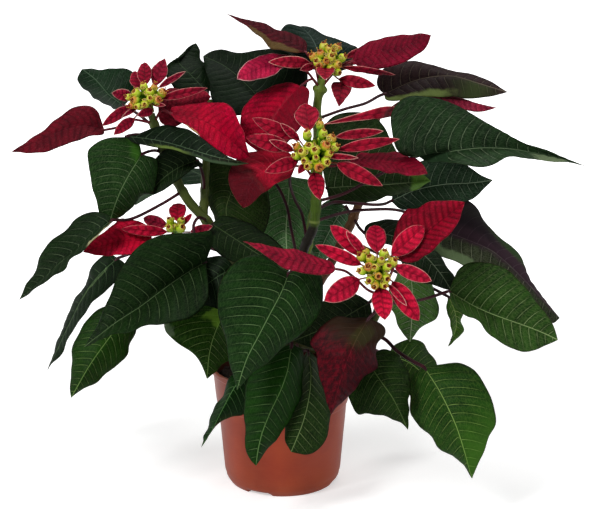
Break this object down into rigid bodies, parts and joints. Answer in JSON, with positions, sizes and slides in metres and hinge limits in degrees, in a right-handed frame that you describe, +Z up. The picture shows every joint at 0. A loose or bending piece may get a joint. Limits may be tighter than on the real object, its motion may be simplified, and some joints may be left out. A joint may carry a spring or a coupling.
{
  "type": "potted poinsettia",
  "caption": "Potted poinsettia with red bracts, flower clusters and arching dark green leaves on branching stems, growing from soil in a small round plastic pot.",
  "frame": {"origin": "centre of the pot's foot, on the surface it stands on (3 mm below the underside of the pot's floor)", "axes": "+Z up along the pot's axis; -Y is the front, where the low flower head faces; +X to the right seen from the front, along the plant's widest spread"},
  "size_m": [0.462, 0.323, 0.3967],
  "materials": {
    "pot_plastic": "satin",
    "potting_soil": "matte",
    "green_stem": "satin",
    "leaf_green": "satin",
    "leaf_bright": "satin",
    "leaf_maroon": "satin",
    "bract_red": "satin",
    "flower_head": "satin"
  },
  "bodies": {
    "root": {"bract_center_left": "bract_red", "bract_left_inner": "bract_red", "bract_left_outer": "bract_red", "bract_right_large": "bract_red", "bract_right_long": "bract_red", "bract_top_drooping": "bract_red", "bract_top_left": "bract_red", "bract_top_rear": "bract_red", "bract_top_right": "bract_red", "branch_center": "green_stem", "branch_front": "green_stem", "branch_left": "green_stem", "branch_right": "green_stem", "flower_head_center": "flower_head", "flower_head_left": "flower_head", "flower_head_right": "flower_head", "flower_head_small": "flower_head", "flower_head_top": "flower_head", "leaf_behind_maroon": "leaf_green", "leaf_center_behind": "leaf_green", "leaf_center_rear": "leaf_green", "leaf_center_right": "leaf_green", "leaf_front_large": "leaf_green", "leaf_left_folded": "leaf_green", "leaf_left_front": "leaf_green", "leaf_left_inner": "leaf_green", "leaf_left_lower": "leaf_bright", "leaf_left_narrow": "leaf_green", "leaf_left_outer": "leaf_green", "leaf_left_shaded": "leaf_green", "leaf_left_upper": "leaf_green", "leaf_maroon": "leaf_maroon", "leaf_middle_lower": "leaf_green", "leaf_middle_rear": "leaf_green", "leaf_middle_upper": "leaf_green", "leaf_pot_front": "leaf_bright", "leaf_pot_left": "leaf_green", "leaf_pot_right": "leaf_green", "leaf_rear_left": "leaf_green", "leaf_rear_lower": "leaf_green", "leaf_rear_middle": "leaf_green", "leaf_rear_right": "leaf_green", "leaf_right_bottom": "leaf_bright", "leaf_right_dark": "leaf_green", "leaf_right_hanging": "leaf_bright", "leaf_right_inner": "leaf_green", "leaf_right_lower": "leaf_green", "leaf_right_middle": "leaf_green", "leaf_right_purple": "leaf_green", "leaf_right_round": "leaf_green", "leaf_right_small": "leaf_bright", "leaf_right_upper": "leaf_green", "leaf_top_curled": "leaf_green", "leaf_top_left": "leaf_green", "leaf_top_middle": "leaf_green", "leaf_top_rear": "leaf_green", "leaf_top_right": "leaf_green", "main_stem": "green_stem", "pot": "pot_plastic", "soil": "potting_soil"}
  },
  "joints": []
}
